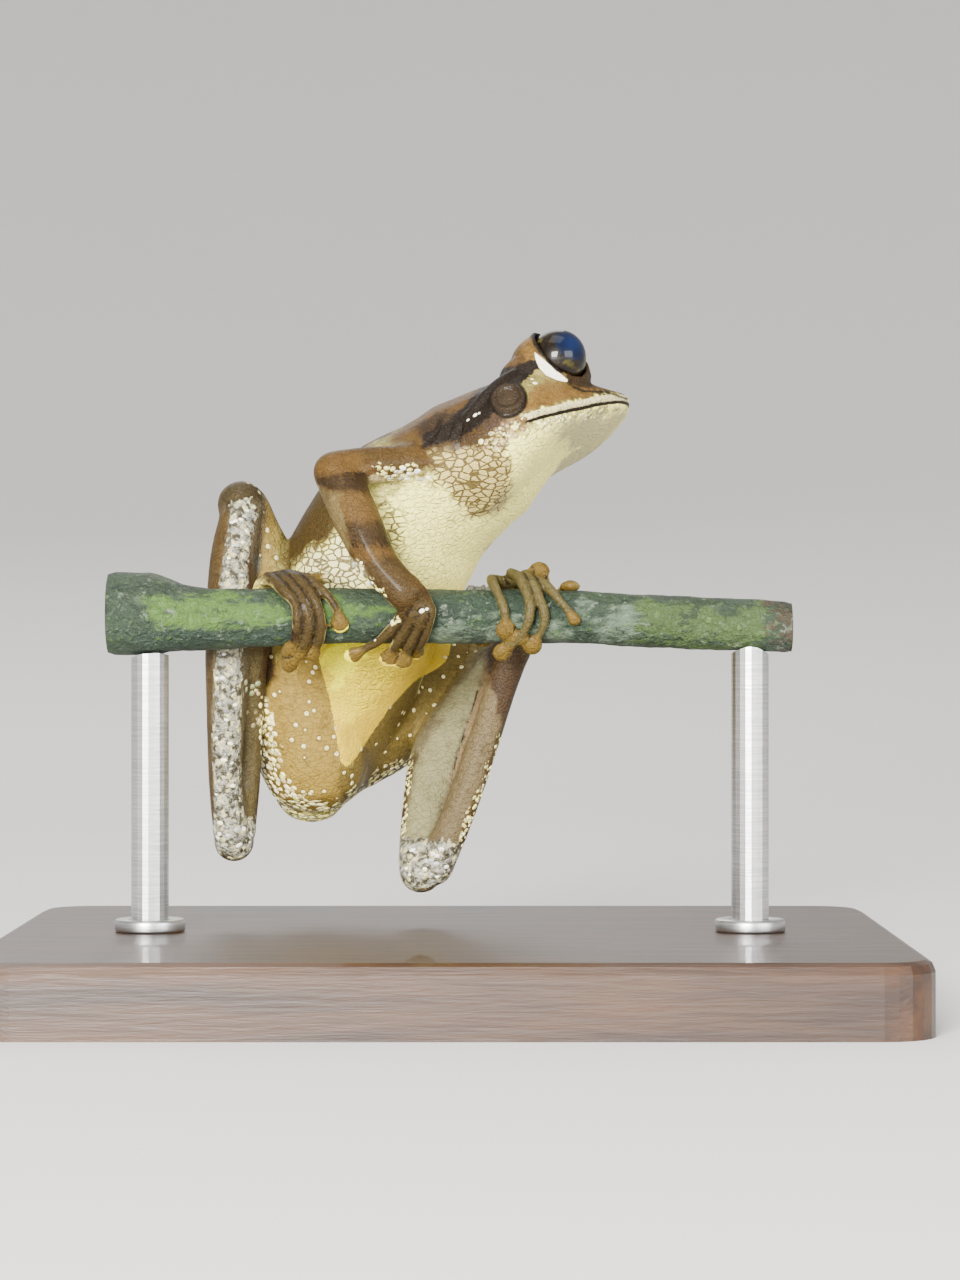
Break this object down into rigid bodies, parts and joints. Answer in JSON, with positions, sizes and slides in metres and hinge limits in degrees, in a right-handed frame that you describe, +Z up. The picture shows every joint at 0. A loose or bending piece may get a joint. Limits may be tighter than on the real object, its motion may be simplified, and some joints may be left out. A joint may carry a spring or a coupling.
{
  "type": "tree frog model on stem perch",
  "caption": "Life-size still tree frog clinging to the back of a cut green stem, belly to the viewer and head turned aside, held by a flat base and short rods.",
  "frame": {"origin": "middle of the underside of the stand's base", "axes": "+X along the perch stem towards the frog's head, +Y away from the viewer, +Z up"},
  "size_m": [0.076, 0.06, 0.0579],
  "materials": {
    "frog_skin": "moist tan-brown skin with dark bars, cream and yellow below, raised pale tubercles",
    "frog_eye": "glossy dark bronze eye with a dark horizontal pupil",
    "green_stem": "matt green bark with paler lichen patches, cut ends pale",
    "stand_wood": "satin dark wood",
    "stand_steel": "brushed"
  },
  "bodies": {
    "root": {"head": "frog_skin", "torso": "frog_skin", "upper_arm_right": "frog_skin", "forearm_right": "frog_skin", "hand_right": "frog_skin", "upper_arm_left": "frog_skin", "forearm_left": "frog_skin", "hand_left": "frog_skin", "thigh_right": "frog_skin", "shank_right": "frog_skin", "tarsus_right": "frog_skin", "foot_right": "frog_skin", "thigh_left": "frog_skin", "shank_left": "frog_skin", "tarsus_left": "frog_skin", "foot_left": "frog_skin", "eye_right": "frog_eye", "eye_left": "frog_eye", "perch_stem": "green_stem", "stand_base": "stand_wood", "stand_rod_left": "stand_steel", "stand_rod_right": "stand_steel"}
  },
  "joints": []
}
